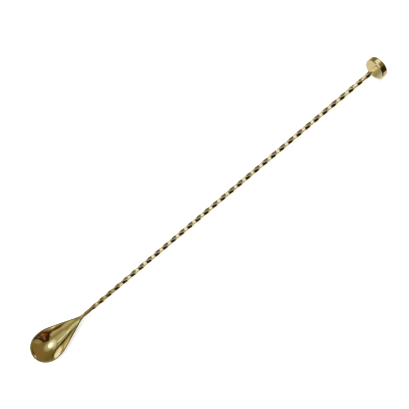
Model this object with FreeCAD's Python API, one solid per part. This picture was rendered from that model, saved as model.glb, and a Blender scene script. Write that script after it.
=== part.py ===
import FreeCAD, Part
import math
import os

# Bar spoon with a teardrop bowl, a right-hand twisted stem and a flat muddler disc, in millimetres.
# The spoon lies along X: bowl tip at -X, muddler disc at +X, bowl opening upwards (+Z).
# The origin is on the table, under the middle of the spoon. The bowl's belly and the disc's rim
# both touch the table, so the stem runs level. Stations "s" are measured from the bowl's tip.

Vector = FreeCAD.Vector
ALONG = Vector(1, 0, 0)

# Whole spoon
LENGTH = 400.0

# Muddler disc
DISC_DIAMETER = 19.5
DISC_THICKNESS = 5.4
DISC_EDGE_RADIUS = 1.0

# Bowl outline, seen from above
BOWL_HALF_WIDTH = 14.7
WIDEST_AT = 17.5
NOSE_FULLNESS = 2.2
SHOULDER_RADIUS = 32.0
FLANK_ANGLE = math.radians(20.0)
FLANK_FILLET = 20.0

# Bowl keel, seen from the side. The rim drops below the stem's axis, so that the belly and the
# disc rest on the same table while the stem runs level.
BOWL_DEPTH = 7.3
BOWL_DROP = DISC_DIAMETER / 2 - BOWL_DEPTH
DROP_START = 36.0
DROP_END = 66.0
DEEPEST_AT = 19.0
HEEL_RADIUS = 25.0
HEEL_ANGLE = math.radians(11.0)
HEEL_FILLET = 40.0

# Bowl wall and cavity
WALL = 1.2
RIM_LAND = 0.9
RIM_SLOPE = math.radians(32.0)
CAVITY_END = 57.6
CUTTER_TOP = 4.0
CUTTER_FLARE = 1.03

# Neck, the round bar between the bowl and the twist
NECK_RADIUS = 1.85
NECK_END_RADIUS = 1.8
NECK_START = 62.0
NECK_END = 72.0
CREST_START = 50.0
CREST_END = 66.0

# Brazed joint between the neck and the stem
SOCKET_RADIUS = 1.0
SOCKET_DEPTH = 8.0
SPIGOT_LENGTH = 7.5
BRAZE_GAP = 0.3

# Stem, a square bar twisted to the right
STEM_SIDE = 3.4
CORNER_RADIUS = 0.5
TWIST_PITCH = 38.0
TWIST_ZERO = 70.7
TWIST_START = 76.0
ROUND_FLAT = 0.1
SECTION_STEP = math.radians(15.0)

# Brazed joint between the stem and the disc
TENON_RADIUS = 1.4
TENON_LENGTH = 3.4
BORE_DEPTH = 3.6
COUNTERSINK_RADIUS = 2.0
COUNTERSINK_DEPTH = 0.5

AXIS_Z = DISC_DIAMETER / 2
STEM_START = NECK_END + BRAZE_GAP
DISC_FACE = LENGTH - DISC_THICKNESS


def at(s, y=0.0, z=0.0):
    """Point at station s, y to the side and z above the stem's axis."""
    return Vector(s - LENGTH / 2, y, AXIS_Z + z)


def tail(s, crest, height, shoulder, angle, fillet, end):
    """Half size behind the crest: a convex arc, a straight flank, then a concave arc into "end"."""
    flank_start = crest + shoulder * math.sin(angle)
    flank_height = height - shoulder * (1 - math.cos(angle))
    corner = flank_start + (flank_height - end) / math.tan(angle)
    tangent = fillet * math.tan(angle / 2)
    if s <= flank_start:
        return height - shoulder + math.sqrt(shoulder ** 2 - (s - crest) ** 2)
    if s <= corner - tangent * math.cos(angle):
        return flank_height - (s - flank_start) * math.tan(angle)
    if s <= corner + tangent:
        return end + fillet - math.sqrt(fillet ** 2 - (corner + tangent - s) ** 2)
    return end


def nose_radius():
    """Radius of the keel's arc from the tip down to the deepest point."""
    return (DEEPEST_AT ** 2 + BOWL_DEPTH ** 2) / (2 * BOWL_DEPTH)


def cavity_start():
    """Station where the cavity's floor reaches the rim at the tip."""
    inner = nose_radius() - WALL
    return DEEPEST_AT - math.sqrt(inner ** 2 - (nose_radius() - BOWL_DEPTH) ** 2)


def ramp(s, start, end):
    """0 before start, 1 after end, straight between."""
    return min(max((s - start) / (end - start), 0.0), 1.0)


def ease(s, start, end):
    """0 before start, 1 after end, with a smooth rise between."""
    return 0.5 - 0.5 * math.cos(math.pi * ramp(s, start, end))


def neck_radius(s):
    """The neck thins a little from the bowl to the stem."""
    return NECK_RADIUS + ramp(s, NECK_START, NECK_END) * (NECK_END_RADIUS - NECK_RADIUS)


def drop(s):
    """How far the rim lies below the stem's axis."""
    return BOWL_DROP * (1 - ease(s, DROP_START, DROP_END))


def nose(share):
    """Share of the half width, from 1 at the widest station to 0 at the tip: a full ellipse."""
    return (1 - share ** NOSE_FULLNESS) ** (1 / NOSE_FULLNESS)


def outline(s):
    """Half width of the bowl and neck."""
    if s < WIDEST_AT:
        return BOWL_HALF_WIDTH * nose(1 - s / WIDEST_AT)
    return tail(s, WIDEST_AT, BOWL_HALF_WIDTH, SHOULDER_RADIUS, FLANK_ANGLE,
                FLANK_FILLET, neck_radius(s))


def keel(s):
    """Depth of the bowl's outside below the rim."""
    if s < DEEPEST_AT:
        return BOWL_DEPTH - nose_radius() + math.sqrt(nose_radius() ** 2 - (DEEPEST_AT - s) ** 2)
    return tail(s, DEEPEST_AT, BOWL_DEPTH, HEEL_RADIUS, HEEL_ANGLE, HEEL_FILLET, neck_radius(s))


def crest(s):
    """Height of the back's arc above the rim. It slopes outwards at the rim, and is round on the neck."""
    slope = RIM_SLOPE + (math.pi / 2 - RIM_SLOPE) * ease(s, CREST_START, CREST_END)
    return outline(s) * math.tan(slope / 2)


def back_height(s, y):
    """Height of the back's arc above the rim, y to the side."""
    half, rise = outline(s), crest(s)
    radius = (half ** 2 + rise ** 2) / (2 * rise)
    return rise - radius + math.sqrt(radius ** 2 - y ** 2)


def cavity_outline(s):
    """Half width of the cavity's mouth."""
    half_width = BOWL_HALF_WIDTH - RIM_LAND
    if s < WIDEST_AT:
        return half_width * nose((WIDEST_AT - s) / (WIDEST_AT - cavity_start()))
    return tail(s, WIDEST_AT, half_width, SHOULDER_RADIUS - RIM_LAND, FLANK_ANGLE, 0.0, 0.0)


def cavity_keel(s):
    """Depth of the cavity's floor below the rim. It turns negative where the floor climbs out."""
    if s < DEEPEST_AT:
        inner = nose_radius() - WALL
        return BOWL_DEPTH - nose_radius() + math.sqrt(inner ** 2 - (DEEPEST_AT - s) ** 2)
    return tail(s, DEEPEST_AT, BOWL_DEPTH - WALL, HEEL_RADIUS - WALL, HEEL_ANGLE, 0.0, -NECK_RADIUS)


def stations(start, widest, end, step):
    """Stations that crowd towards the rounded tip and then run evenly to the end."""
    nose_angles = [6, 14, 23, 33, 44, 56, 68, 79, 90]
    nose = [widest - (widest - start) * math.cos(math.radians(a)) for a in nose_angles]
    count = max(1, round((end - widest) / step))
    return nose + [widest + (end - widest) * (i + 1) / count for i in range(count)]


def body_section(s):
    """Closed section of the bowl's outside: the belly arc below and the back's arc above."""
    rim = -drop(s)
    left = at(s, -outline(s), rim)
    right = at(s, outline(s), rim)
    belly = Part.Arc(left, at(s, 0, rim - keel(s)), right).toShape()
    back = Part.Arc(right, at(s, 0, rim + crest(s)), left).toShape()
    return Part.Wire([belly, back])


def cavity_section(s):
    """Section of the cavity's cutter: a parabola through both lips and a little beyond, then straight up."""
    half = cavity_outline(s)
    lip = back_height(s, half) - drop(s)
    floor = -cavity_keel(s) - drop(s)
    edge = half * CUTTER_FLARE
    left = at(s, -edge, floor + (lip - floor) * CUTTER_FLARE ** 2)
    right = Vector(left.x, edge, left.z)
    parabola = Part.BezierCurve()
    parabola.setPoles([left, at(s, 0, 2 * floor) - Vector(0, 0, left.z - at(s).z), right])
    sides = Part.makePolygon([right, at(s, edge, CUTTER_TOP), at(s, -edge, CUTTER_TOP), left])
    return Part.Wire([parabola.toShape()] + sides.Edges)


def bar(radius, start, length):
    """Round bar along the stem's axis."""
    return Part.makeCylinder(radius, length, at(start), ALONG)


def make_bowl():
    """Teardrop shell with its neck, and the socket that takes the stem's spigot."""
    bowl_stations = stations(0.0, WIDEST_AT, NECK_START, 2.5) + [65.0, 68.5, NECK_END]
    body = Part.makeLoft([body_section(s) for s in bowl_stations], True, False)
    hollow_stations = stations(cavity_start(), WIDEST_AT, CAVITY_END, 2.5)
    hollow = Part.makeLoft([cavity_section(s) for s in hollow_stations], True, False)
    socket = bar(SOCKET_RADIUS, NECK_END - SOCKET_DEPTH, SOCKET_DEPTH + 1)
    return body.cut(hollow).cut(socket)


def make_bowl_braze():
    """Silver-braze filler left between the neck's end and the stem's shoulder."""
    ring = bar(NECK_END_RADIUS, NECK_END, BRAZE_GAP)
    return ring.cut(bar(SOCKET_RADIUS, NECK_END - 1, BRAZE_GAP + 2))


def stem_section(s, half, corner):
    """Square with rounded corners, turned to the right about the stem's axis."""
    flat = half - corner
    inset = corner * (1 - math.sqrt(0.5))
    turn = 2 * math.pi * (s - TWIST_ZERO) / TWIST_PITCH
    edges = []
    for quarter in range(4):
        across = math.degrees(turn) + 90 * quarter
        spots = [at(s, half, -flat), at(s, half, flat), at(s, half - inset, half - inset), at(s, flat, half)]
        side = Part.makeLine(spots[0], spots[1])
        corner_arc = Part.Arc(*spots[1:]).toShape()
        for edge in (side, corner_arc):
            edges.append(edge.rotate(at(s), ALONG, across))
    return Part.Wire(edges)


def make_stem():
    """Twisted bar with a spigot for the bowl's neck and a tenon for the disc."""
    half = STEM_SIDE / 2
    half_way = (STEM_START + TWIST_START) / 2
    count = math.ceil((DISC_FACE - TWIST_START) / (TWIST_PITCH * SECTION_STEP / (2 * math.pi)))
    step = (DISC_FACE - TWIST_START) / count
    wires = [stem_section(STEM_START, NECK_END_RADIUS, NECK_END_RADIUS - ROUND_FLAT / 2)]
    wires.append(stem_section(half_way, (half + NECK_END_RADIUS) / 2, (NECK_END_RADIUS + CORNER_RADIUS) / 2))
    for i in range(count + 1):
        wires.append(stem_section(TWIST_START + i * step, half, CORNER_RADIUS))
    twisted = Part.makeLoft(wires, True, False)
    spigot = bar(SOCKET_RADIUS, NECK_END - SPIGOT_LENGTH, SPIGOT_LENGTH + BRAZE_GAP)
    tenon = bar(TENON_RADIUS, DISC_FACE, TENON_LENGTH)
    return twisted.fuse([spigot, tenon])


def make_disc():
    """Turned puck with rounded edges and a blind, countersunk bore for the stem's tenon."""
    puck = bar(DISC_DIAMETER / 2, DISC_FACE, DISC_THICKNESS)
    rims = [edge for edge in puck.Edges if isinstance(edge.Curve, Part.Circle)]
    puck = puck.makeFillet(DISC_EDGE_RADIUS, rims)
    bore = bar(TENON_RADIUS, DISC_FACE, BORE_DEPTH)
    countersink = Part.makeCone(COUNTERSINK_RADIUS, TENON_RADIUS, COUNTERSINK_DEPTH,
                                at(DISC_FACE), ALONG)
    return puck.cut(bore).cut(countersink)


def make_disc_braze():
    """Braze filler that fills the disc's countersink around the tenon."""
    cone = Part.makeCone(COUNTERSINK_RADIUS, TENON_RADIUS, COUNTERSINK_DEPTH,
                         at(DISC_FACE), ALONG)
    return cone.cut(bar(TENON_RADIUS, DISC_FACE - 1, COUNTERSINK_DEPTH + 2))


NODES = {
    "teardrop_bowl": make_bowl,
    "bowl_braze_ring": make_bowl_braze,
    "twisted_stem": make_stem,
    "disc_braze_ring": make_disc_braze,
    "muddler_disc": make_disc,
}

os.makedirs("parts", exist_ok=True)
for name, make in NODES.items():
    shape = make()
    print(name, "valid:", shape.isValid(), "solids:", len(shape.Solids), "volume:", round(shape.Volume, 1))
    shape.Solids[0].exportStep("parts/" + name + ".step")
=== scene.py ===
import math

import bmesh
import bpy
import numpy as np
from mathutils import Matrix, Vector


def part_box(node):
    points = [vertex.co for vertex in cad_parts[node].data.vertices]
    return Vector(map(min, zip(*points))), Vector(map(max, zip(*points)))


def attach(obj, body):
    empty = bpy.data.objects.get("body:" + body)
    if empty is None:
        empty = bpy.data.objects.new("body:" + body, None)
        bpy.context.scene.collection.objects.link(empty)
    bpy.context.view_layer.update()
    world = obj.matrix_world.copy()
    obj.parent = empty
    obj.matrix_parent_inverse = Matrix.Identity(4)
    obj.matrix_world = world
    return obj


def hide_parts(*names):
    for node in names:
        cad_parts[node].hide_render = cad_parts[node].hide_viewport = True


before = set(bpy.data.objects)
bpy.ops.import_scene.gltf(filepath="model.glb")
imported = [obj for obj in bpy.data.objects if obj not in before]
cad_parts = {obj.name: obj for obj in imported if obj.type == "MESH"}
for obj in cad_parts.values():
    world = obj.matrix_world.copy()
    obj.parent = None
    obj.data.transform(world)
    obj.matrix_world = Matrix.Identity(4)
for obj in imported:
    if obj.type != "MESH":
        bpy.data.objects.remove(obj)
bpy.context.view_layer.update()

# Bar spoon: teardrop bowl, twisted stem and muddler disc, lying on a pale table. All in metres.
# Stations "s" run along the stem from the bowl's tip. X, Y and Z are the frame's.

MM = 0.001

# Places taken from the frame
DISC_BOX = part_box("muddler_disc")
BOWL_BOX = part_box("teardrop_bowl")
BRAZE_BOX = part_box("bowl_braze_ring")
DISC_BRAZE_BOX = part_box("disc_braze_ring")
TIP_X = -DISC_BOX[1][0]
LENGTH = DISC_BOX[1][0] - TIP_X
AXIS_Z = (DISC_BOX[0][2] + DISC_BOX[1][2]) / 2
DISC_RADIUS = (DISC_BOX[1][2] - DISC_BOX[0][2]) / 2
DISC_FACE = DISC_BOX[0][0] - TIP_X
NECK_END = BOWL_BOX[1][0] - TIP_X
STEM_START = BRAZE_BOX[1][0] - TIP_X

# Bowl outline, seen from above
HALF_WIDTH = (BOWL_BOX[1][1] - BOWL_BOX[0][1]) / 2
WIDEST_AT = 17.5 * MM
NOSE_FULLNESS = 2.2
SHOULDER_RADIUS = 32 * MM
FLANK_ANGLE = math.radians(20)
FLANK_FILLET = 20 * MM

# Bowl keel, seen from the side
DEPTH = 7.3 * MM
DROP = AXIS_Z - DEPTH
DROP_START = 36 * MM
DROP_END = 66 * MM
DEEPEST_AT = 19 * MM
HEEL_RADIUS = 25 * MM
HEEL_ANGLE = math.radians(11)
HEEL_FILLET = 40 * MM
NOSE_RADIUS = (DEEPEST_AT ** 2 + DEPTH ** 2) / (2 * DEPTH)

# Bowl wall, rim and cavity
WALL = 1.2 * MM
RIM_LAND = 0.9 * MM
RIM_SLOPE = math.radians(32)
CAVITY_START = DEEPEST_AT - math.sqrt((NOSE_RADIUS - WALL) ** 2 - (NOSE_RADIUS - DEPTH) ** 2)

# Neck
NECK_RADIUS = 1.85 * MM
NECK_END_RADIUS = (BRAZE_BOX[1][1] - BRAZE_BOX[0][1]) / 2
NECK_START = 62 * MM
CREST_START = 50 * MM
CREST_END = 66 * MM
SOCKET_RADIUS = 1.0 * MM
SOCKET_DEPTH = 8 * MM
SPIGOT_LENGTH = 7.5 * MM

# Stem
STEM_SIDE = 3.4 * MM
CORNER_RADIUS = 0.5 * MM
TWIST_PITCH = 38.0 * MM
TWIST_ZERO = 70.7 * MM
TWIST_START = 76 * MM
TENON_RADIUS = 1.4 * MM
TENON_LENGTH = 3.4 * MM

# Disc
DISC_EDGE_RADIUS = 1.0 * MM
BORE_DEPTH = 3.6 * MM
COUNTERSINK_RADIUS = (DISC_BRAZE_BOX[1][1] - DISC_BRAZE_BOX[0][1]) / 2
COUNTERSINK_DEPTH = DISC_BRAZE_BOX[1][0] - DISC_BRAZE_BOX[0][0]

# Camera, as it stood over the spoon
CAMERA_STATION = 231.4 * MM
CAMERA_HEIGHT = 342.3 * MM
CAMERA_SIDE = 5.75 * MM
CAMERA_LEAN = math.radians(3.471)
STEM_ON_SCREEN = math.radians(40.25)
FOCAL = 34.38
SENSOR = 36.0
CLIP_START = 0.01

# Points closer than this are welded, an arc lower than this is flat, and an edge that turns by more
# than so many degrees stays sharp
WELD = 1e-7
NO_RISE = 1e-9
BOWL_SHARP = 60
STEM_SHARP = 50
DISC_SHARP = 40

# Mesh of the bowl: rows round the nose and along the tail, points from the middle to the lip and on
# the land. The points near the lip lie closer together, and are smoothed into a rolled edge.
NOSE_ROWS = 44
TAIL_STEP = 0.5 * MM
INNER_POINTS = 40
LAND_POINTS = 8
LIP_REACH = 7
LIP_SHARE = 0.06
LIP_ROUNDS = 7
MIDDLE_CROWDING = 1.1
WALL_LEAN = math.radians(64)

# Behind the cavity the back is split along two lines that run apart into the neck
SPLIT_START = 0.12 * MM
SPLIT_WIDENING = 0.3
SPLIT_LIMIT = 0.5

# Mesh of the stem. An end closes on a ring of hardly any size, and its edge is broken.
RING_STEP = 0.35 * MM
CORNER_STEPS = 6
FLAT_STEPS = 6
FULL_ROUND = 0.999
NECK_CORNER = NECK_END_RADIUS * 0.98
END_RING = 0.0001 * MM
END_BREAK = 0.1 * MM

# Meshes of the turned disc and of the seams
DISC_SEGMENTS = 160
EDGE_STEPS = 14
FACE_STEPS = 6
BAND_STEPS = 5
SEAM_STEPS = 8
BOWL_SEAM_SEGMENTS = 72
DISC_SEAM_SEGMENTS = 96
SEAM_SAG = 0.03 * MM
SEAM_CLIMB = 0.18 * MM

# Painted shade on the rim's land: its colour, where it ends on the tail, and over what length it fades
# It is a dark line painted on the land in place of the dark edge that the rim shows in reflection.
RIM_SHADE_TONE = (0.09, 0.065, 0.03)
RIM_SHADE_END = 64 * MM
RIM_SHADE_FADE = 8 * MM

# Plating: bright and deep tone, least and most roughness, and height of the soft waves
POLISHED_GOLD = ((0.90, 0.77, 0.43), (0.83, 0.69, 0.36), 0.05, 0.12, 0.02 * MM)
BRAZED_GOLD = ((0.80, 0.63, 0.32), (0.68, 0.52, 0.25), 0.12, 0.26, 0.03 * MM)

# Grain of the plating, in noise cells a metre. Hairlines run along the spoon.
DRIFT_SCALE = 55
WAVE_SCALE = 120
SMUDGE_SCALE = 160
PATCH_SCALE = 260
HAIRLINE_SCALE = 900
HAIRLINE_STRETCH = (0.12, 1, 1)
HAIRLINE_DEPTH = 0.01 * MM
HAIRLINE_STRENGTH = 0.12
WAVE_STRENGTH = 1.0

# Table, backdrop and lamp. Angles in degrees, azimuth from +X towards +Y.
TABLE_LIGHT = (0.62, 0.61, 0.58)
TABLE_DARK = (0.58, 0.57, 0.54)
TABLE_GLOW = 0.72
TABLE_HALF = 1.5
TABLE_MOTTLE = 6
BACKDROP = (0.95, 0.95, 0.95)
LAMP_AZIMUTH = 95
LAMP_ELEVATION = 66
LAMP_DISTANCE = 0.9
LAMP_SIZE = (0.7, 0.5)
LAMP_POWER = 9

# Room that the gold mirrors. A panel is azimuth, elevation, half width, half height and softness in
# degrees, degrees of rise for each degree of azimuth, and colour. Each lies over those before it.
ROOM = (0.21, 0.147, 0.054)
PANELS = [
    # tan end wall and the pale wall beside it
    (-170, 25, 30, 34, 8, 0, (0.26, 0.235, 0.11)),
    (158, 44, 36, 10, 6, 0, (0.42, 0.41, 0.30)),
    (150, 12, 34, 16, 5, 0, (0.50, 0.50, 0.34)),
    # low bright window, its dim sill and its yellow edge
    (151, 2, 12, 9, 3, 0, (0.24, 0.24, 0.12)),
    (126.5, 10.5, 12, 8, 3, -0.28, (1.0, 1.0, 0.86)),
    (140.5, 8, 2.5, 5, 2.5, 0, (0.42, 0.38, 0.15)),
    # olive corner and the dark beam that bends down over the window
    (88, 34, 22, 11, 5, 0, (0.16, 0.13, 0.04)),
    (116, 28, 11, 4.2, 2, 0.2, (0.06, 0.06, 0.01)),
    (135, 24.3, 10, 4.2, 2, -0.6, (0.045, 0.04, 0.008)),
    (147, 17, 5.5, 5, 1.5, 0, (0.04, 0.035, 0.008)),
    # bright slit above the beam
    (161, 29.8, 6, 3.5, 1.5, -0.15, (1.05, 1.1, 1.0)),
    (170.5, 27.3, 6, 3.5, 3, -0.3, (0.68, 0.68, 0.52)),
    # dark side wall with two lighter patches
    (-82, 2, 40, 18, 5, 0, (0.035, 0.028, 0.014)),
    (-96, 37, 11, 13, 5, 0, (0.31, 0.25, 0.15)),
    (-150, 15, 9, 14, 4, 0, (0.50, 0.43, 0.28)),
    # dark doorway, and the warm tones within it
    (-125, 20, 18.3, 39.5, 1.5, 0, (0.042, 0.015, 0.006)),
    (-139.5, 7, 1.5, 4, 2, 0, (0.14, 0.085, 0.015)),
    (-121, 40, 2.5, 8, 4, 0, (0.24, 0.14, 0.11)),
    (-123, 28, 2.5, 5, 4, 0, (0.30, 0.16, 0.11)),
    (-125, 14, 2.5, 5, 4, 0, (0.40, 0.21, 0.08)),
    (-130, 18, 3, 5, 4, 0, (0.22, 0.07, 0.02)),
    (-115, 18, 2.5, 6, 4, 0, (0.20, 0.11, 0.06)),
]

# Overhead lamp's glow, from its halo to its core: azimuth, elevation, radius, softness, colour
SPOTS = [
    (150, 73, 21, 9, (0.46, 0.45, 0.36)),
    (160, 58, 20, 7, (0.72, 0.76, 0.74)),
    (156, 66, 12, 6, (1.10, 1.20, 1.45)),
    (148, 69, 7.5, 4, (2.4, 2.4, 2.4)),
]

# Studio cards that stand beside the spoon: x from and to, y, z from and to, tone
BLACK = (0.015, 0.012, 0.008)
UPRIGHT_CARDS = {
    "black_card": (-0.115, 0.205, -0.03, 0.0, 0.055, BLACK),
    "grey_card": (-0.10, 0.18, 0.03, 0.0, 0.04, (0.18, 0.19, 0.25)),
    "neck_black_card": (-0.15, -0.115, -0.03, 0.0, 0.03, BLACK),
    "neck_olive_card": (-0.15, -0.10, 0.03, 0.0, 0.035, (0.21, 0.165, 0.08)),
    "disc_black_card": (0.205, 0.255, -0.03, 0.018, 0.078, (0.03, 0.02, 0.01)),
    "disc_olive_card": (0.19, 0.27, 0.03, 0.0, 0.028, (0.20, 0.17, 0.09)),
}

# Studio cards that hang level above it: x from and to, y from and to, z, tone
LEVEL_CARDS = {
    "neck_card": (-0.156, -0.136, -0.01, 0.01, 0.03, (0.19, 0.17, 0.09)),
    "tan_card": (-0.135, -0.10, -0.012, 0.02, 0.045, (0.42, 0.42, 0.38)),
    "white_card": (-0.10, 0.20, -0.012, 0.02, 0.045, (0.95, 1.0, 1.2)),
    "disc_card": (0.20, 0.29, 0.026, 0.10, 0.07, (0.85, 0.87, 0.9)),
    "disc_dim_card": (0.20, 0.29, 0.012, 0.132, 0.072, (0.5, 0.49, 0.4)),
}


# ---------------------------------------------------------------- outline and keel of the bowl

def tail(s, crest, height, shoulder, angle, fillet, end):
    """Half size behind the crest: a convex arc, a straight flank, then a concave arc into "end"."""
    flank_start = crest + shoulder * math.sin(angle)
    flank_height = height - shoulder * (1 - math.cos(angle))
    corner = flank_start + (flank_height - end) / math.tan(angle)
    tangent = fillet * math.tan(angle / 2)
    if s <= flank_start:
        return height - shoulder + math.sqrt(shoulder ** 2 - (s - crest) ** 2)
    if s <= corner - tangent * math.cos(angle):
        return flank_height - (s - flank_start) * math.tan(angle)
    if s < corner + tangent:
        return end + fillet - math.sqrt(fillet ** 2 - (corner + tangent - s) ** 2)
    return end


def ramp(s, start, end):
    """0 before start, 1 after end, straight between."""
    return min(max((s - start) / (end - start), 0.0), 1.0)


def ease(s, start, end):
    """0 before start, 1 after end, with a smooth rise between."""
    return 0.5 - 0.5 * math.cos(math.pi * ramp(s, start, end))


def neck_radius(s):
    """The neck thins a little from the bowl to the stem."""
    return NECK_RADIUS + ramp(s, NECK_START, NECK_END) * (NECK_END_RADIUS - NECK_RADIUS)


def drop(s):
    """How far the rim lies below the stem's axis; the tail climbs to the neck."""
    return DROP * (1 - ease(s, DROP_START, DROP_END))


def nose(share):
    """Share of the half width, from 1 at the widest station to 0 at the tip: a full ellipse."""
    return max(0.0, 1 - share ** NOSE_FULLNESS) ** (1 / NOSE_FULLNESS)


def outline(s):
    """Half width of the bowl and neck."""
    if s < WIDEST_AT:
        return HALF_WIDTH * nose(1 - s / WIDEST_AT)
    return tail(s, WIDEST_AT, HALF_WIDTH, SHOULDER_RADIUS, FLANK_ANGLE, FLANK_FILLET, neck_radius(s))


def keel(s):
    """Depth of the bowl's outside below the rim."""
    if s < DEEPEST_AT:
        return DEPTH - NOSE_RADIUS + math.sqrt(NOSE_RADIUS ** 2 - (DEEPEST_AT - s) ** 2)
    return tail(s, DEEPEST_AT, DEPTH, HEEL_RADIUS, HEEL_ANGLE, HEEL_FILLET, neck_radius(s))


def crest(s):
    """Height of the back's arc above the rim. It slopes outwards at the rim, and is round on the neck."""
    slope = RIM_SLOPE + (math.pi / 2 - RIM_SLOPE) * ease(s, CREST_START, CREST_END)
    return outline(s) * math.tan(slope / 2)


def cavity_outline(s):
    """Half width of the cavity's mouth."""
    half = HALF_WIDTH - RIM_LAND
    if s < WIDEST_AT:
        return half * nose(min(1.0, (WIDEST_AT - s) / (WIDEST_AT - CAVITY_START)))
    return tail(s, WIDEST_AT, half, SHOULDER_RADIUS - RIM_LAND, FLANK_ANGLE, 0.0, 0.0)


def cavity_keel(s):
    """Depth of the cavity's floor below the rim; negative where it climbs into the neck's back."""
    if s < DEEPEST_AT:
        inner = NOSE_RADIUS - WALL
        return DEPTH - NOSE_RADIUS + math.sqrt(inner ** 2 - (DEEPEST_AT - s) ** 2)
    return tail(s, DEEPEST_AT, DEPTH - WALL, HEEL_RADIUS - WALL, HEEL_ANGLE, 0.0, -NECK_RADIUS)


def arc_height(y, half, rise):
    """Height at y of an arc that spans from -half to half at height 0, with "rise" in the middle."""
    if half <= 0 or abs(rise) < NO_RISE:
        return 0.0
    radius = (half ** 2 + rise ** 2) / (2 * abs(rise))
    fall = radius - math.sqrt(max(0.0, radius ** 2 - y ** 2))
    return math.copysign(max(0.0, abs(rise) - fall), rise)


def outside(s, y):
    """Height of the bowl's outside."""
    return -drop(s) - arc_height(y, outline(s), keel(s))


def crown(s, y):
    """Height of the rim's land and of the neck's back."""
    return arc_height(y, outline(s), crest(s)) - drop(s)


def inside(s, y):
    """Height of the cavity's surface, a parabola from lip to lip."""
    half = cavity_outline(s)
    lip = crown(s, half)
    floor = -drop(s) - cavity_keel(s)
    return min(floor + (lip - floor) * (y / half) ** 2, crown(s, y))


# ---------------------------------------------------------------- mesh helpers

def place(s, y, z):
    """Point at station s, y to the side and z above the stem's axis."""
    return Vector((TIP_X + s, y, AXIS_Z + z))


def make_object(name, points, faces, rim_shade=()):
    """Smooth-shaded mesh object, with coincident points welded and all faces turned outwards.

    The share of painted shade on the rim, one number a point, goes into an attribute that the gold reads.
    """
    mesh = bpy.data.meshes.new(name)
    mesh.from_pydata([tuple(p) for p in points], [], faces)
    if rim_shade:
        mesh.attributes.new("rim_shade", "FLOAT", "POINT").data.foreach_set("value", rim_shade)
    bm = bmesh.new()
    bm.from_mesh(mesh)
    bmesh.ops.remove_doubles(bm, verts=bm.verts, dist=WELD)
    bmesh.ops.recalc_face_normals(bm, faces=bm.faces)
    for face in bm.faces:
        face.smooth = True
    bm.to_mesh(mesh)
    bm.free()
    piece = bpy.data.objects.new(name, mesh)
    bpy.context.collection.objects.link(piece)
    return piece


def grid_faces(rows, columns, wrap=False):
    """Quads between neighbouring rows of points; wrap joins each row's end to its start."""
    faces = []
    for i in range(rows - 1):
        for j in range(columns if wrap else columns - 1):
            k = (j + 1) % columns
            faces.append((i * columns + j, i * columns + k,
                          (i + 1) * columns + k, (i + 1) * columns + j))
    return faces


def lathe(name, profile, segments):
    """Solid of revolution about the stem's axis from (station, radius) points."""
    points = []
    for s, radius in profile:
        for i in range(segments):
            angle = 2 * math.pi * i / segments
            points.append(place(s, radius * math.sin(angle), radius * math.cos(angle)))
    return make_object(name, points, grid_faces(len(profile), segments, wrap=True))


def arc(centre_s, centre_r, radius, start, end, steps):
    """Points of a profile's arc; angles in degrees from the +X direction towards the outside."""
    angles = [math.radians(start + (end - start) * i / steps) for i in range(steps + 1)]
    return [(centre_s + radius * math.cos(a), centre_r + radius * math.sin(a)) for a in angles]


def sharpen(piece, angle):
    """Marks edges that turn by more than the angle, in degrees, as sharp, so that flats shade flat."""
    bm = bmesh.new()
    bm.from_mesh(piece.data)
    for edge in bm.edges:
        if len(edge.link_faces) == 2 and edge.calc_face_angle() > math.radians(angle):
            edge.smooth = False
    bm.to_mesh(piece.data)
    bm.free()


# ---------------------------------------------------------------- bowl

def across_inside():
    """Shares of the cavity's half width, from the middle to the lip, closer together at the lip."""
    lip = 1 - np.linspace(LIP_SHARE, 0, LIP_REACH + 1)
    middle = np.linspace(0, 1, INNER_POINTS - LIP_REACH)[:-1] ** MIDDLE_CROWDING * (1 - LIP_SHARE)
    share = np.concatenate([middle, lip])
    return np.sin(share * WALL_LEAN) / math.sin(WALL_LEAN)


def row_points(middle_s, edge, lip, side):
    """One row of the bowl's skin: cavity, land and outside, from the top middle to the bottom middle.

    edge and lip are the (station, y) points of the outline and of the cavity's mouth.
    """
    shares = across_inside()
    row = []
    for share in shares:
        s = middle_s + (lip[0] - middle_s) * share
        y = lip[1] * share
        row.append((s, y, inside(s, y) if y < cavity_outline(s) else crown(s, y)))
    for i in range(1, LAND_POINTS):
        share = i / LAND_POINTS
        s = lip[0] + (edge[0] - lip[0]) * share
        y = lip[1] + (edge[1] - lip[1]) * share
        row.append((s, y, crown(s, y)))
    for share in shares[::-1]:
        s = middle_s + (edge[0] - middle_s) * share
        y = edge[1] * share
        row.append((s, y, outside(s, y)))
    row = np.array(row)
    first, last = len(shares) - LIP_REACH, len(shares) + LAND_POINTS + LIP_REACH - 1
    for _ in range(LIP_ROUNDS):
        soft = (row[first - 1:last - 1] + 2 * row[first:last] + row[first + 1:last + 1]) / 4
        row[first:last] = soft
    return [place(s, side * y, z) for s, y, z in row]


def cavity_end():
    """Station where the cavity's mouth closes to a point."""
    start = WIDEST_AT + (SHOULDER_RADIUS - RIM_LAND) * math.sin(FLANK_ANGLE)
    return start + cavity_outline(start) / math.tan(FLANK_ANGLE)


def tail_row(s, side):
    """Row of the skin straight across the tail or the neck."""
    beyond = max(0.0, s - cavity_end())
    split = min(SPLIT_START + SPLIT_WIDENING * beyond, SPLIT_LIMIT * outline(s))
    split = max(cavity_outline(s), split)
    return row_points(s, (s, outline(s)), (s, split), side)


def nose_row(turn, side):
    """Row of the skin that fans out over the nose, at an angle from the tip."""
    cos, sin = (abs(f(turn)) ** (2 / NOSE_FULLNESS) for f in (math.cos, math.sin))
    edge = (WIDEST_AT * (1 - cos), HALF_WIDTH * sin)
    lip = (WIDEST_AT - (WIDEST_AT - CAVITY_START) * cos, (HALF_WIDTH - RIM_LAND) * sin)
    return row_points(WIDEST_AT, edge, lip, side)


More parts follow.
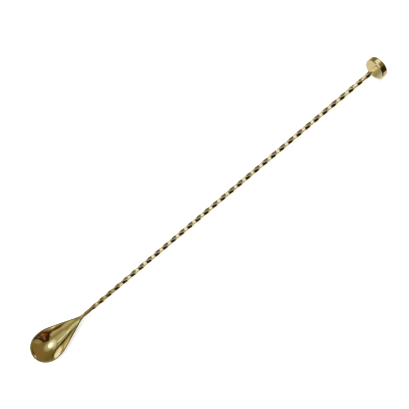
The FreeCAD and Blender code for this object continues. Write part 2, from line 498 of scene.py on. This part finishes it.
def painted_rim_shade(row):
    """Share of painted shade for each point of a row: full on the rim's land, none elsewhere or on the
    neck.
    """
    s = row[-1].x - TIP_X
    full = 1 - ramp(s, RIM_SHADE_END - RIM_SHADE_FADE, RIM_SHADE_END)
    land = range(INNER_POINTS, INNER_POINTS + LAND_POINTS)
    return [full if i in land else 0.0 for i in range(len(row))]


def bowl_rows():
    """Rows of the skin from the neck down one side, round the nose and back up the other side."""
    count = round((NECK_END - WIDEST_AT) / TAIL_STEP)
    stations = [WIDEST_AT + (NECK_END - WIDEST_AT) * i / count for i in range(1, count + 1)]
    turns = [math.pi / 2 * i / NOSE_ROWS for i in range(NOSE_ROWS + 1)]
    rows = [tail_row(s, -1) for s in reversed(stations)]
    rows += [nose_row(turn, -1) for turn in reversed(turns)]
    rows += [nose_row(turn, 1) for turn in turns[1:]]
    rows += [tail_row(s, 1) for s in stations]
    return rows


def bore_socket(points, faces, ring):
    """Closes the neck's end with an annulus and the socket's wall and floor.

    ring holds the numbers of the points round the neck's end.
    """
    spokes = [Vector((0, points[j].y, points[j].z - AXIS_Z)).normalized() for j in ring]
    socket_end = NECK_END - SOCKET_DEPTH
    for s, radius in ((NECK_END, SOCKET_RADIUS), (socket_end, SOCKET_RADIUS), (socket_end, 0.0)):
        inner = list(range(len(points), len(points) + len(ring)))
        points += [place(s, spoke.y * radius, spoke.z * radius) for spoke in spokes]
        for j in range(len(ring)):
            k = (j + 1) % len(ring)
            faces.append((ring[j], ring[k], inner[k], inner[j]))
        ring = inner


def make_bowl():
    """Skin of the bowl and neck, closed by the socket at the neck's end."""
    rows = bowl_rows()
    columns = len(rows[0])
    last_row = (len(rows) - 1) * columns
    points = [p for row in rows for p in row]
    faces = grid_faces(len(rows), columns)
    bore_socket(points, faces, [*range(columns), *range(last_row + columns - 2, last_row, -1)])
    # painted shade along the rim's land, as a share for each point
    rim_shade = [share for row in rows for share in painted_rim_shade(row)]
    rim_shade += [0.0] * (len(points) - len(rim_shade))
    bowl = make_object("polished_bowl", points, faces, rim_shade)
    sharpen(bowl, BOWL_SHARP)
    return bowl


# ---------------------------------------------------------------- stem

def stem_ring(s, half, corner):
    """Points round the bar at station s: a square with rounded corners, turned with the twist."""
    flat = half - corner
    turn = 2 * math.pi * (s - TWIST_ZERO) / TWIST_PITCH
    ring = []
    for quarter in range(4):
        spin = turn + quarter * math.pi / 2
        spots = [(half, -flat + 2 * flat * i / FLAT_STEPS) for i in range(FLAT_STEPS)]
        for i in range(CORNER_STEPS):
            angle = math.pi / 2 * i / CORNER_STEPS
            spots.append((flat + corner * math.cos(angle), flat + corner * math.sin(angle)))
        for u, v in spots:
            ring.append(place(s, u * math.cos(spin) - v * math.sin(spin),
                              u * math.sin(spin) + v * math.cos(spin)))
    return ring


def round_ring(s, radius):
    """Ring of the round spigot or tenon, with as many points as the bar's."""
    return stem_ring(s, radius, radius * FULL_ROUND)


def bar_ring(s):
    """Ring of the bar, which runs out from its square section to the neck's round one."""
    blend = ramp(s, STEM_START, TWIST_START)
    blend = blend * blend * (3 - 2 * blend)
    size = NECK_END_RADIUS + (STEM_SIDE / 2 - NECK_END_RADIUS) * blend
    return stem_ring(s, size, NECK_CORNER + (CORNER_RADIUS - NECK_CORNER) * blend)


def make_stem():
    """Twisted bar with its spigot and its tenon, as one skin."""
    spigot_start = STEM_START - SPIGOT_LENGTH
    tenon_end = DISC_FACE + TENON_LENGTH
    count = math.ceil((DISC_FACE - STEM_START) / RING_STEP)
    rings = [
        round_ring(spigot_start, END_RING),
        round_ring(spigot_start, SOCKET_RADIUS - END_BREAK),
        round_ring(spigot_start + END_BREAK, SOCKET_RADIUS),
        round_ring(STEM_START, SOCKET_RADIUS),
    ]
    rings += [bar_ring(STEM_START + (DISC_FACE - STEM_START) * i / count) for i in range(count + 1)]
    rings += [
        round_ring(DISC_FACE, TENON_RADIUS),
        round_ring(tenon_end - END_BREAK, TENON_RADIUS),
        round_ring(tenon_end, TENON_RADIUS - END_BREAK),
        round_ring(tenon_end, END_RING),
    ]
    points = [p for ring in rings for p in ring]
    stem = make_object("twisted_bar", points, grid_faces(len(rings), len(rings[0]), wrap=True))
    sharpen(stem, STEM_SHARP)
    return stem


# ---------------------------------------------------------------- disc and brazed seams

def make_disc():
    """Turned puck, from the floor of its bore out over both edges to the middle of its far face."""
    rim = DISC_RADIUS - DISC_EDGE_RADIUS
    inner, outer = DISC_FACE + DISC_EDGE_RADIUS, LENGTH - DISC_EDGE_RADIUS
    bore_end = DISC_FACE + BORE_DEPTH
    profile = [(bore_end, 0.0), (bore_end, TENON_RADIUS)]
    profile.append((DISC_FACE + COUNTERSINK_DEPTH, TENON_RADIUS))
    for i in range(FACE_STEPS):
        radius = COUNTERSINK_RADIUS + (rim - COUNTERSINK_RADIUS) * i / FACE_STEPS
        profile.append((DISC_FACE, radius))
    profile += arc(inner, rim, DISC_EDGE_RADIUS, 180, 90, EDGE_STEPS)
    for i in range(1, BAND_STEPS):
        profile.append((inner + (outer - inner) * i / BAND_STEPS, DISC_RADIUS))
    profile += arc(outer, rim, DISC_EDGE_RADIUS, 90, 0, EDGE_STEPS)
    profile += [(LENGTH, rim * (1 - i / FACE_STEPS)) for i in range(1, FACE_STEPS + 1)]
    disc = lathe("turned_disc", profile, DISC_SEGMENTS)
    sharpen(disc, DISC_SHARP)
    return disc


def make_bowl_seam():
    """Filler between neck and stem, sunk a hair below both at its middle."""
    width = STEM_START - NECK_END
    profile = [(NECK_END, SOCKET_RADIUS)]
    for i in range(SEAM_STEPS + 1):
        sag = SEAM_SAG * math.sin(math.pi * i / SEAM_STEPS)
        profile.append((NECK_END + width * i / SEAM_STEPS, NECK_END_RADIUS - sag))
    profile += [(STEM_START, SOCKET_RADIUS), profile[0]]
    return lathe("bowl_seam", profile, BOWL_SEAM_SEGMENTS)


def make_disc_seam():
    """Filler in the countersink, with a low meniscus around the stem."""
    width = COUNTERSINK_RADIUS - TENON_RADIUS
    profile = [(DISC_FACE + COUNTERSINK_DEPTH, TENON_RADIUS)]
    for i in range(SEAM_STEPS + 1):
        share = i / SEAM_STEPS
        climb = SEAM_CLIMB * (1 - share) ** 2
        profile.append((DISC_FACE - climb, TENON_RADIUS + width * share))
    profile.append(profile[0])
    return lathe("disc_seam", profile, DISC_SEAM_SEGMENTS)


# ---------------------------------------------------------------- materials

class Nodes:
    """Short-hand for building a node tree."""

    def __init__(self, tree):
        self.tree = tree
        tree.nodes.clear()

    def add(self, kind, **values):
        node = self.tree.nodes.new(kind)
        for key, value in values.items():
            setattr(node, key, value)
        return node

    def link(self, source, target):
        self.tree.links.new(source, target)

    def feed(self, target, value):
        """Links another node's socket to the target, or gives the target a plain value."""
        if isinstance(value, bpy.types.NodeSocket):
            self.link(value, target)
        else:
            target.default_value = value

    def end(self, kind, shader):
        """Ends the tree with an output node of this kind."""
        self.link(shader, self.add(kind).inputs["Surface"])


def noise(nodes, vector, scale, detail, roughness=0.55, stretch=(1, 1, 1)):
    """Noise texture, stretched by scaling its coordinates."""
    mapping = nodes.add("ShaderNodeMapping")
    mapping.inputs["Scale"].default_value = stretch
    nodes.link(vector, mapping.inputs["Vector"])
    texture = nodes.add("ShaderNodeTexNoise")
    texture.inputs["Scale"].default_value = scale
    texture.inputs["Detail"].default_value = detail
    texture.inputs["Roughness"].default_value = roughness
    nodes.link(mapping.outputs["Vector"], texture.inputs["Vector"])
    return texture.outputs["Fac"]


def spread(nodes, value, low, high, out_low, out_high):
    """Map Range from low..high to out_low..out_high."""
    node = nodes.add("ShaderNodeMapRange")
    for name, number in (("From Min", low), ("From Max", high), ("To Min", out_low), ("To Max", out_high)):
        node.inputs[name].default_value = number
    nodes.link(value, node.inputs["Value"])
    return node.outputs["Result"]


def maths(nodes, operation, first, second=0.0):
    """Math node on one or two values, each a socket or a plain number."""
    node = nodes.add("ShaderNodeMath", operation=operation)
    nodes.feed(node.inputs[0], first)
    nodes.feed(node.inputs[1], second)
    return node.outputs["Value"]


def mix_colour(nodes, factor, first, second):
    """Mixes two colours, each a socket or a plain (r, g, b). A mix node has its colours at 6 and 7."""
    node = nodes.add("ShaderNodeMix", data_type="RGBA")
    nodes.link(factor, node.inputs[0])
    for target, value in ((node.inputs[6], first), (node.inputs[7], second)):
        nodes.feed(target, (*value, 1) if isinstance(value, tuple) else value)
    return node.outputs[2]


def bump(nodes, height, strength, distance):
    """Bump node. Its strength is a share, its distance the height in metres."""
    node = nodes.add("ShaderNodeBump")
    node.inputs["Strength"].default_value = strength
    node.inputs["Distance"].default_value = distance
    nodes.link(height, node.inputs["Height"])
    return node


def gold(name, bright, deep, rough_low, rough_high, wave_height):
    """Polished gold plating: slight colour drift, smudges, polishing hairlines and a soft waviness.

    It is darkened, a little patchily, by painted shade where the mesh marks the rim's land.
    """
    material = bpy.data.materials.new(name)
    material.use_nodes = True
    nodes = Nodes(material.node_tree)
    place_in = nodes.add("ShaderNodeTexCoord").outputs["Object"]
    shader = nodes.add("ShaderNodeBsdfPrincipled")
    shader.inputs["Metallic"].default_value = 1.0

    drift = spread(nodes, noise(nodes, place_in, DRIFT_SCALE, 2.5), 0.35, 0.68, 0, 1)
    plating = mix_colour(nodes, drift, bright, deep)
    patches = spread(nodes, noise(nodes, place_in, PATCH_SCALE, 2), 0.3, 0.7, 0.7, 1)
    # painted shade: the rim's share from the mesh darkens the plating towards the dark rim tone
    rim_shade_share = nodes.add("ShaderNodeAttribute", attribute_name="rim_shade").outputs["Fac"]
    shaded_plating = mix_colour(nodes, maths(nodes, "MULTIPLY", rim_shade_share, patches), plating, RIM_SHADE_TONE)
    nodes.link(shaded_plating, shader.inputs["Base Color"])

    smudge = noise(nodes, place_in, SMUDGE_SCALE, 4, 0.6)
    nodes.link(spread(nodes, smudge, 0.35, 0.7, rough_low, rough_high), shader.inputs["Roughness"])

    hairline = noise(nodes, place_in, HAIRLINE_SCALE, 2, 0.5, HAIRLINE_STRETCH)
    fine = bump(nodes, hairline, HAIRLINE_STRENGTH, HAIRLINE_DEPTH)
    wave = noise(nodes, place_in, WAVE_SCALE, 1.5, 0.4)
    soft = bump(nodes, wave, WAVE_STRENGTH, wave_height)
    nodes.link(fine.outputs["Normal"], soft.inputs["Normal"])
    nodes.link(soft.outputs["Normal"], shader.inputs["Normal"])
    nodes.end("ShaderNodeOutputMaterial", shader.outputs["BSDF"])
    return material


def table_material():
    """Pale studio table: plain white to the lens, a calmer tone where the metal mirrors it."""
    material = bpy.data.materials.new("pale_table")
    material.use_nodes = True
    nodes = Nodes(material.node_tree)
    place_in = nodes.add("ShaderNodeTexCoord").outputs["Object"]
    mottle = spread(nodes, noise(nodes, place_in, TABLE_MOTTLE, 2), 0.3, 0.7, 0, 1)
    shader = nodes.add("ShaderNodeBsdfDiffuse")
    nodes.link(mix_colour(nodes, mottle, TABLE_LIGHT, TABLE_DARK), shader.inputs["Color"])
    to_lens = nodes.add("ShaderNodeLightPath").outputs["Is Camera Ray"]
    glow = nodes.add("ShaderNodeEmission")
    nodes.link(maths(nodes, "MULTIPLY", to_lens, TABLE_GLOW), glow.inputs["Strength"])
    both = nodes.add("ShaderNodeAddShader")
    nodes.link(shader.outputs["BSDF"], both.inputs[0])
    nodes.link(glow.outputs["Emission"], both.inputs[1])
    nodes.end("ShaderNodeOutputMaterial", both.outputs["Shader"])
    return material


# ---------------------------------------------------------------- studio

def make_plane(name, corners, material):
    """One flat quad."""
    mesh = bpy.data.meshes.new(name)
    mesh.from_pydata(corners, [], [(0, 1, 2, 3)])
    mesh.materials.append(material)
    plane = bpy.data.objects.new(name, mesh)
    bpy.context.collection.objects.link(plane)
    return plane


def make_table():
    """Square table under the spoon, centred on the origin."""
    half = TABLE_HALF
    corners = [(-half, -half, 0), (half, -half, 0), (half, half, 0), (-half, half, 0)]
    table = make_plane("table", corners, table_material())


def heading(azimuth, elevation):
    """Unit vector; azimuth in degrees from +X towards +Y."""
    a, e = math.radians(azimuth), math.radians(elevation)
    return Vector((math.cos(a) * math.cos(e), math.sin(a) * math.cos(e), math.sin(e)))


def make_lamp():
    """Area light that looks back at the spoon's middle. The metal mirrors the room, not the lamp."""
    light = bpy.data.lights.new("key", "AREA")
    light.shape = "RECTANGLE"
    light.size, light.size_y = LAMP_SIZE
    light.energy = LAMP_POWER
    lamp = bpy.data.objects.new("key", light)
    bpy.context.collection.objects.link(lamp)
    aim = heading(LAMP_AZIMUTH, LAMP_ELEVATION)
    lamp.location = Vector((0, 0, AXIS_Z)) + aim * LAMP_DISTANCE
    lamp.rotation_mode = "QUATERNION"
    lamp.rotation_quaternion = aim.to_track_quat("Z", "Y")
    lamp.visible_glossy = False


def dot(nodes, direction, vector):
    """Dot product of the direction with a fixed vector."""
    node = nodes.add("ShaderNodeVectorMath", operation="DOT_PRODUCT")
    nodes.link(direction, node.inputs[0])
    node.inputs[1].default_value = vector
    return node.outputs["Value"]


def soft_step(nodes, value, half, soft):
    """1 up to half - soft either way, 0 from half + soft on; degrees, and the value in radians."""
    node = nodes.add("ShaderNodeMapRange", interpolation_type="SMOOTHSTEP")
    node.inputs["From Min"].default_value = math.radians(half + soft)
    node.inputs["From Max"].default_value = math.radians(half - soft)
    nodes.link(maths(nodes, "ABSOLUTE", value), node.inputs["Value"])
    return node.outputs["Result"]


def panel(nodes, direction, azimuth, elevation, half_width, half_height, soft, tilt):
    """Soft-edged patch of the surroundings, placed by azimuth and elevation in degrees.

    tilt is how many degrees it rises for each degree of azimuth.
    """
    ahead = dot(nodes, direction, heading(azimuth, 0))
    aside = dot(nodes, direction, heading(azimuth + 90, 0))
    turn = maths(nodes, "ARCTAN2", aside, ahead)
    lift = maths(nodes, "ARCSINE", dot(nodes, direction, (0, 0, 1)))
    level = maths(nodes, "SUBTRACT", lift, math.radians(elevation))
    level = maths(nodes, "SUBTRACT", level, maths(nodes, "MULTIPLY", turn, tilt))
    across = soft_step(nodes, turn, half_width, soft)
    return maths(nodes, "MULTIPLY", across, soft_step(nodes, level, half_height, soft))


def spot(nodes, direction, azimuth, elevation, radius, soft):
    """Round soft-edged patch of the surroundings, in degrees."""
    away = maths(nodes, "ARCCOSINE", dot(nodes, direction, heading(azimuth, elevation)))
    return soft_step(nodes, away, radius, soft)


def make_room():
    """The room that the polished metal mirrors; the lens sees only a plain pale backdrop."""
    world = bpy.data.worlds.new("studio")
    bpy.context.scene.world = world
    world.use_nodes = True
    nodes = Nodes(world.node_tree)
    direction = nodes.add("ShaderNodeTexCoord").outputs["Generated"]
    colour = ROOM
    for *place_and_size, tone in PANELS:
        colour = mix_colour(nodes, panel(nodes, direction, *place_and_size), colour, tone)
    for *place_and_size, tone in SPOTS:
        colour = mix_colour(nodes, spot(nodes, direction, *place_and_size), colour, tone)
    to_lens = nodes.add("ShaderNodeLightPath").outputs["Is Camera Ray"]
    background = nodes.add("ShaderNodeBackground")
    nodes.link(mix_colour(nodes, to_lens, colour, BACKDROP), background.inputs["Color"])
    nodes.end("ShaderNodeOutputWorld", background.outputs["Background"])


def make_card(name, corners, tone):
    """Studio card near the spoon. Only the metal sees it, as a patch of plain tone."""
    material = bpy.data.materials.new(name)
    material.use_nodes = True
    nodes = Nodes(material.node_tree)
    glow = nodes.add("ShaderNodeEmission")
    glow.inputs["Color"].default_value = (*tone, 1)
    nodes.end("ShaderNodeOutputMaterial", glow.outputs["Emission"])
    card = make_plane(name, corners, material)
    card.visible_camera = False
    card.visible_diffuse = False
    card.visible_shadow = False


def make_cards():
    """The cards that stand beside the spoon, then those that hang above it."""
    for name, (x0, x1, y, z0, z1, tone) in UPRIGHT_CARDS.items():
        make_card(name, [(x0, y, z0), (x1, y, z0), (x1, y, z1), (x0, y, z1)], tone)
    for name, (x0, x1, y0, y1, z, tone) in LEVEL_CARDS.items():
        make_card(name, [(x0, y0, z), (x1, y0, z), (x1, y1, z), (x0, y1, z)], tone)


def make_camera():
    """Camera above the stem, leaning a little along it, with the stem slanting up to the right."""
    data = bpy.data.cameras.new("camera")
    data.sensor_width = SENSOR
    data.lens = FOCAL
    data.clip_start = CLIP_START
    camera = bpy.data.objects.new("camera", data)
    bpy.context.collection.objects.link(camera)
    along = Vector((math.cos(CAMERA_LEAN), 0, -math.sin(CAMERA_LEAN)))
    side = Vector((0, -1, 0))
    right = math.cos(STEM_ON_SCREEN) * along + math.sin(STEM_ON_SCREEN) * side
    up = math.sin(STEM_ON_SCREEN) * along - math.cos(STEM_ON_SCREEN) * side
    back = right.cross(up)
    camera.matrix_world = Matrix((
        (right.x, up.x, back.x, TIP_X + CAMERA_STATION),
        (right.y, up.y, back.y, CAMERA_SIDE),
        (right.z, up.z, back.z, AXIS_Z + CAMERA_HEIGHT),
        (0, 0, 0, 1)))
    bpy.context.scene.camera = camera


def finish_piece(piece, material, node):
    """Plates a piece and lets it stand in for its CAD node."""
    piece.data.materials.append(material)
    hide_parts(node)
    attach(piece, "root")


make_camera()
make_table()
make_room()
make_lamp()
make_cards()

plated = gold("gold_plate", *POLISHED_GOLD)
seam = gold("brazed_gold", *BRAZED_GOLD)
finish_piece(make_bowl(), plated, "teardrop_bowl")
finish_piece(make_stem(), plated, "twisted_stem")
finish_piece(make_disc(), plated, "muddler_disc")
finish_piece(make_bowl_seam(), seam, "bowl_braze_ring")
finish_piece(make_disc_seam(), seam, "disc_braze_ring")

scene = bpy.context.scene
scene.view_settings.view_transform = "Standard"
scene.view_settings.look = "None"
